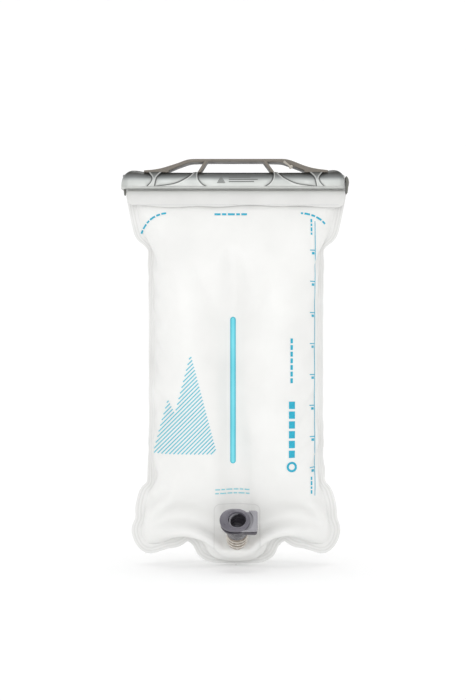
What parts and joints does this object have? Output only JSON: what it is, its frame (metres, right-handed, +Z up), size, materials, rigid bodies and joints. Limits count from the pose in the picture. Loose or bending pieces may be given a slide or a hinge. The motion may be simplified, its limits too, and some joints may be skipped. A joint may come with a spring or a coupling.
{
  "type": "hydration bladder",
  "caption": "Soft translucent water bag with a folded mouth, a slide-on closure with grip handle, an inner baffle and a quick-release hose port.",
  "frame": {"origin": "middle of the flat underside of the grip handle's strap, where the bladder hangs", "axes": "+Z up along the bag, -Y out of the side with the hose port, +X along the closure towards its open end"},
  "size_m": [0.189, 0.0742, 0.3351],
  "materials": {
    "bag_film": "milky translucent film, satin",
    "patch_film": "milky translucent film, satin",
    "mouth_film": "milky translucent film, satin",
    "rail_plastic": "smooth moulded, satin",
    "closure_grey": "silver-grey moulded plastic, satin",
    "handle_taupe": "warm grey moulded plastic, satin",
    "baffle_teal": "printed film strip, satin",
    "zip_strip": "extruded press-to-close strip",
    "neck_smoke": "smoky translucent soft moulding",
    "port_grey": "dark grey moulded plastic, semi-gloss",
    "button_grey": "grey moulded plastic, semi-gloss",
    "spring_steel": "drawn wire",
    "seal_rubber": "matt",
    "retainer_white": "moulded, satin"
  },
  "bodies": {
    "closure": {"slide_channel": "closure_grey", "slide_handle": "handle_taupe", "tether_peg": "handle_taupe"},
    "bag": {"front_panel": "bag_film", "back_panel": "bag_film", "port_patch": "patch_film", "mouth_band_inner": "mouth_film", "mouth_band_outer": "mouth_film", "mouth_rail": "rail_plastic", "rail_end_cap": "rail_plastic", "baffle_anchor_front": "baffle_teal", "baffle_anchor_back": "baffle_teal", "baffle_web_front": "bag_film", "baffle_web_back": "bag_film", "baffle_track": "zip_strip", "baffle_rib": "zip_strip", "port_base": "neck_smoke", "port_collar": "port_grey", "valve_retainer": "retainer_white", "button_spring": "spring_steel", "valve_spring": "spring_steel"},
    "button": {"release_button": "button_grey"},
    "poppet": {"valve_poppet": "port_grey", "valve_seal": "seal_rubber"}
  },
  "joints": [
    {"name": "closure_slide", "type": "slide", "parent": "closure", "child": "bag", "axis": [1, 0, 0], "range_m": [0, 0.2]},
    {"name": "button_press", "type": "slide", "parent": "bag", "child": "button", "axis": [-1, 0, 0], "range_m": [0, 0.0022], "stiffness_N_per_m": 800, "springref_m": -0.0015, "deforming": ["button_spring"]},
    {"name": "valve_open", "type": "slide", "parent": "bag", "child": "poppet", "axis": [0, 0.766, -0.6428], "range_m": [0, 0.0035], "stiffness_N_per_m": 500, "springref_m": -0.002, "deforming": ["valve_spring"]}
  ]
}
